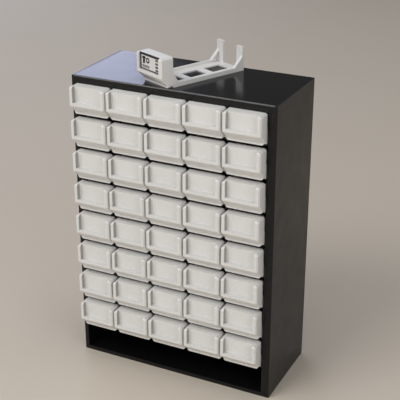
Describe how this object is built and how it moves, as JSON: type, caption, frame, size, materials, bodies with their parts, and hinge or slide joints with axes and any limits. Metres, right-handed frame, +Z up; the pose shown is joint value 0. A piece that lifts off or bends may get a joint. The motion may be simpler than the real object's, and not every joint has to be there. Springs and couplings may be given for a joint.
{
  "type": "parts organizer",
  "caption": "Black small-parts cabinet with a grid of white pull-out drawers, an open bay underneath, and a spare drawer carrier with a label display on top.",
  "frame": {"origin": "middle of the cabinet's underside, on the surface it stands on", "axes": "+X to the cabinet's right as seen from the front, +Y from its front to its back, +Z up; the drawers pull out along -Y"},
  "size_m": [0.306, 0.1656, 0.4832],
  "materials": {
    "cabinet_black": "satin",
    "drawer_white": "matte",
    "display_panel": "matte"
  },
  "bodies": {
    "cabinet": {"side_left": "cabinet_black", "side_right": "cabinet_black", "top_panel": "cabinet_black", "floor_panel": "cabinet_black", "back_panel": "cabinet_black", "shelf_1": "cabinet_black", "shelf_2": "cabinet_black", "shelf_3": "cabinet_black", "shelf_4": "cabinet_black", "shelf_5": "cabinet_black", "shelf_6": "cabinet_black", "shelf_7": "cabinet_black", "shelf_8": "cabinet_black", "divider_1": "cabinet_black", "divider_2": "cabinet_black", "divider_3": "cabinet_black", "divider_4": "cabinet_black"},
    "drawer_r1c1": {"drawer_r1c1": "drawer_white"},
    "drawer_r1c2": {"drawer_r1c2": "drawer_white"},
    "drawer_r1c3": {"drawer_r1c3": "drawer_white"},
    "drawer_r1c4": {"drawer_r1c4": "drawer_white"},
    "drawer_r1c5": {"drawer_r1c5": "drawer_white"},
    "drawer_r2c1": {"drawer_r2c1": "drawer_white"},
    "drawer_r2c2": {"drawer_r2c2": "drawer_white"},
    "drawer_r2c3": {"drawer_r2c3": "drawer_white"},
    "drawer_r2c4": {"drawer_r2c4": "drawer_white"},
    "drawer_r2c5": {"drawer_r2c5": "drawer_white"},
    "drawer_r3c1": {"drawer_r3c1": "drawer_white"},
    "drawer_r3c2": {"drawer_r3c2": "drawer_white"},
    "drawer_r3c3": {"drawer_r3c3": "drawer_white"},
    "drawer_r3c4": {"drawer_r3c4": "drawer_white"},
    "drawer_r3c5": {"drawer_r3c5": "drawer_white"},
    "drawer_r4c1": {"drawer_r4c1": "drawer_white"},
    "drawer_r4c2": {"drawer_r4c2": "drawer_white"},
    "drawer_r4c3": {"drawer_r4c3": "drawer_white"},
    "drawer_r4c4": {"drawer_r4c4": "drawer_white"},
    "drawer_r4c5": {"drawer_r4c5": "drawer_white"},
    "drawer_r5c1": {"drawer_r5c1": "drawer_white"},
    "drawer_r5c2": {"drawer_r5c2": "drawer_white"},
    "drawer_r5c3": {"drawer_r5c3": "drawer_white"},
    "drawer_r5c4": {"drawer_r5c4": "drawer_white"},
    "drawer_r5c5": {"drawer_r5c5": "drawer_white"},
    "drawer_r6c1": {"drawer_r6c1": "drawer_white"},
    "drawer_r6c2": {"drawer_r6c2": "drawer_white"},
    "drawer_r6c3": {"drawer_r6c3": "drawer_white"},
    "drawer_r6c4": {"drawer_r6c4": "drawer_white"},
    "drawer_r6c5": {"drawer_r6c5": "drawer_white"},
    "drawer_r7c1": {"drawer_r7c1": "drawer_white"},
    "drawer_r7c2": {"drawer_r7c2": "drawer_white"},
    "drawer_r7c3": {"drawer_r7c3": "drawer_white"},
    "drawer_r7c4": {"drawer_r7c4": "drawer_white"},
    "drawer_r7c5": {"drawer_r7c5": "drawer_white"},
    "drawer_r8c1": {"drawer_r8c1": "drawer_white"},
    "drawer_r8c2": {"drawer_r8c2": "drawer_white"},
    "drawer_r8c3": {"drawer_r8c3": "drawer_white"},
    "drawer_r8c4": {"drawer_r8c4": "drawer_white"},
    "drawer_r8c5": {"drawer_r8c5": "drawer_white"},
    "loose_carrier": {"loose_carrier": "drawer_white", "loose_display_module": "drawer_white", "loose_display_glass": "display_panel"}
  },
  "joints": [
    {"name": "drawer_r1c1_slide", "type": "slide", "parent": "cabinet", "child": "drawer_r1c1", "axis": [0, -1, 0], "range_m": [0, 0.11]},
    {"name": "drawer_r1c2_slide", "type": "slide", "parent": "cabinet", "child": "drawer_r1c2", "axis": [0, -1, 0], "range_m": [0, 0.11]},
    {"name": "drawer_r1c3_slide", "type": "slide", "parent": "cabinet", "child": "drawer_r1c3", "axis": [0, -1, 0], "range_m": [0, 0.11]},
    {"name": "drawer_r1c4_slide", "type": "slide", "parent": "cabinet", "child": "drawer_r1c4", "axis": [0, -1, 0], "range_m": [0, 0.11]},
    {"name": "drawer_r1c5_slide", "type": "slide", "parent": "cabinet", "child": "drawer_r1c5", "axis": [0, -1, 0], "range_m": [0, 0.11]},
    {"name": "drawer_r2c1_slide", "type": "slide", "parent": "cabinet", "child": "drawer_r2c1", "axis": [0, -1, 0], "range_m": [0, 0.11]},
    {"name": "drawer_r2c2_slide", "type": "slide", "parent": "cabinet", "child": "drawer_r2c2", "axis": [0, -1, 0], "range_m": [0, 0.11]},
    {"name": "drawer_r2c3_slide", "type": "slide", "parent": "cabinet", "child": "drawer_r2c3", "axis": [0, -1, 0], "range_m": [0, 0.11]},
    {"name": "drawer_r2c4_slide", "type": "slide", "parent": "cabinet", "child": "drawer_r2c4", "axis": [0, -1, 0], "range_m": [0, 0.11]},
    {"name": "drawer_r2c5_slide", "type": "slide", "parent": "cabinet", "child": "drawer_r2c5", "axis": [0, -1, 0], "range_m": [0, 0.11]},
    {"name": "drawer_r3c1_slide", "type": "slide", "parent": "cabinet", "child": "drawer_r3c1", "axis": [0, -1, 0], "range_m": [0, 0.11]},
    {"name": "drawer_r3c2_slide", "type": "slide", "parent": "cabinet", "child": "drawer_r3c2", "axis": [0, -1, 0], "range_m": [0, 0.11]},
    {"name": "drawer_r3c3_slide", "type": "slide", "parent": "cabinet", "child": "drawer_r3c3", "axis": [0, -1, 0], "range_m": [0, 0.11]},
    {"name": "drawer_r3c4_slide", "type": "slide", "parent": "cabinet", "child": "drawer_r3c4", "axis": [0, -1, 0], "range_m": [0, 0.11]},
    {"name": "drawer_r3c5_slide", "type": "slide", "parent": "cabinet", "child": "drawer_r3c5", "axis": [0, -1, 0], "range_m": [0, 0.11]},
    {"name": "drawer_r4c1_slide", "type": "slide", "parent": "cabinet", "child": "drawer_r4c1", "axis": [0, -1, 0], "range_m": [0, 0.11]},
    {"name": "drawer_r4c2_slide", "type": "slide", "parent": "cabinet", "child": "drawer_r4c2", "axis": [0, -1, 0], "range_m": [0, 0.11]},
    {"name": "drawer_r4c3_slide", "type": "slide", "parent": "cabinet", "child": "drawer_r4c3", "axis": [0, -1, 0], "range_m": [0, 0.11]},
    {"name": "drawer_r4c4_slide", "type": "slide", "parent": "cabinet", "child": "drawer_r4c4", "axis": [0, -1, 0], "range_m": [0, 0.11]},
    {"name": "drawer_r4c5_slide", "type": "slide", "parent": "cabinet", "child": "drawer_r4c5", "axis": [0, -1, 0], "range_m": [0, 0.11]},
    {"name": "drawer_r5c1_slide", "type": "slide", "parent": "cabinet", "child": "drawer_r5c1", "axis": [0, -1, 0], "range_m": [0, 0.11]},
    {"name": "drawer_r5c2_slide", "type": "slide", "parent": "cabinet", "child": "drawer_r5c2", "axis": [0, -1, 0], "range_m": [0, 0.11]},
    {"name": "drawer_r5c3_slide", "type": "slide", "parent": "cabinet", "child": "drawer_r5c3", "axis": [0, -1, 0], "range_m": [0, 0.11]},
    {"name": "drawer_r5c4_slide", "type": "slide", "parent": "cabinet", "child": "drawer_r5c4", "axis": [0, -1, 0], "range_m": [0, 0.11]},
    {"name": "drawer_r5c5_slide", "type": "slide", "parent": "cabinet", "child": "drawer_r5c5", "axis": [0, -1, 0], "range_m": [0, 0.11]},
    {"name": "drawer_r6c1_slide", "type": "slide", "parent": "cabinet", "child": "drawer_r6c1", "axis": [0, -1, 0], "range_m": [0, 0.11]},
    {"name": "drawer_r6c2_slide", "type": "slide", "parent": "cabinet", "child": "drawer_r6c2", "axis": [0, -1, 0], "range_m": [0, 0.11]},
    {"name": "drawer_r6c3_slide", "type": "slide", "parent": "cabinet", "child": "drawer_r6c3", "axis": [0, -1, 0], "range_m": [0, 0.11]},
    {"name": "drawer_r6c4_slide", "type": "slide", "parent": "cabinet", "child": "drawer_r6c4", "axis": [0, -1, 0], "range_m": [0, 0.11]},
    {"name": "drawer_r6c5_slide", "type": "slide", "parent": "cabinet", "child": "drawer_r6c5", "axis": [0, -1, 0], "range_m": [0, 0.11]},
    {"name": "drawer_r7c1_slide", "type": "slide", "parent": "cabinet", "child": "drawer_r7c1", "axis": [0, -1, 0], "range_m": [0, 0.11]},
    {"name": "drawer_r7c2_slide", "type": "slide", "parent": "cabinet", "child": "drawer_r7c2", "axis": [0, -1, 0], "range_m": [0, 0.11]},
    {"name": "drawer_r7c3_slide", "type": "slide", "parent": "cabinet", "child": "drawer_r7c3", "axis": [0, -1, 0], "range_m": [0, 0.11]},
    {"name": "drawer_r7c4_slide", "type": "slide", "parent": "cabinet", "child": "drawer_r7c4", "axis": [0, -1, 0], "range_m": [0, 0.11]},
    {"name": "drawer_r7c5_slide", "type": "slide", "parent": "cabinet", "child": "drawer_r7c5", "axis": [0, -1, 0], "range_m": [0, 0.11]},
    {"name": "drawer_r8c1_slide", "type": "slide", "parent": "cabinet", "child": "drawer_r8c1", "axis": [0, -1, 0], "range_m": [0, 0.11]},
    {"name": "drawer_r8c2_slide", "type": "slide", "parent": "cabinet", "child": "drawer_r8c2", "axis": [0, -1, 0], "range_m": [0, 0.11]},
    {"name": "drawer_r8c3_slide", "type": "slide", "parent": "cabinet", "child": "drawer_r8c3", "axis": [0, -1, 0], "range_m": [0, 0.11]},
    {"name": "drawer_r8c4_slide", "type": "slide", "parent": "cabinet", "child": "drawer_r8c4", "axis": [0, -1, 0], "range_m": [0, 0.11]},
    {"name": "drawer_r8c5_slide", "type": "slide", "parent": "cabinet", "child": "drawer_r8c5", "axis": [0, -1, 0], "range_m": [0, 0.11]},
    {"name": "loose_carrier_lift", "type": "slide", "parent": "cabinet", "child": "loose_carrier", "axis": [0, 0, 1], "range_m": [0, 0.15]}
  ]
}
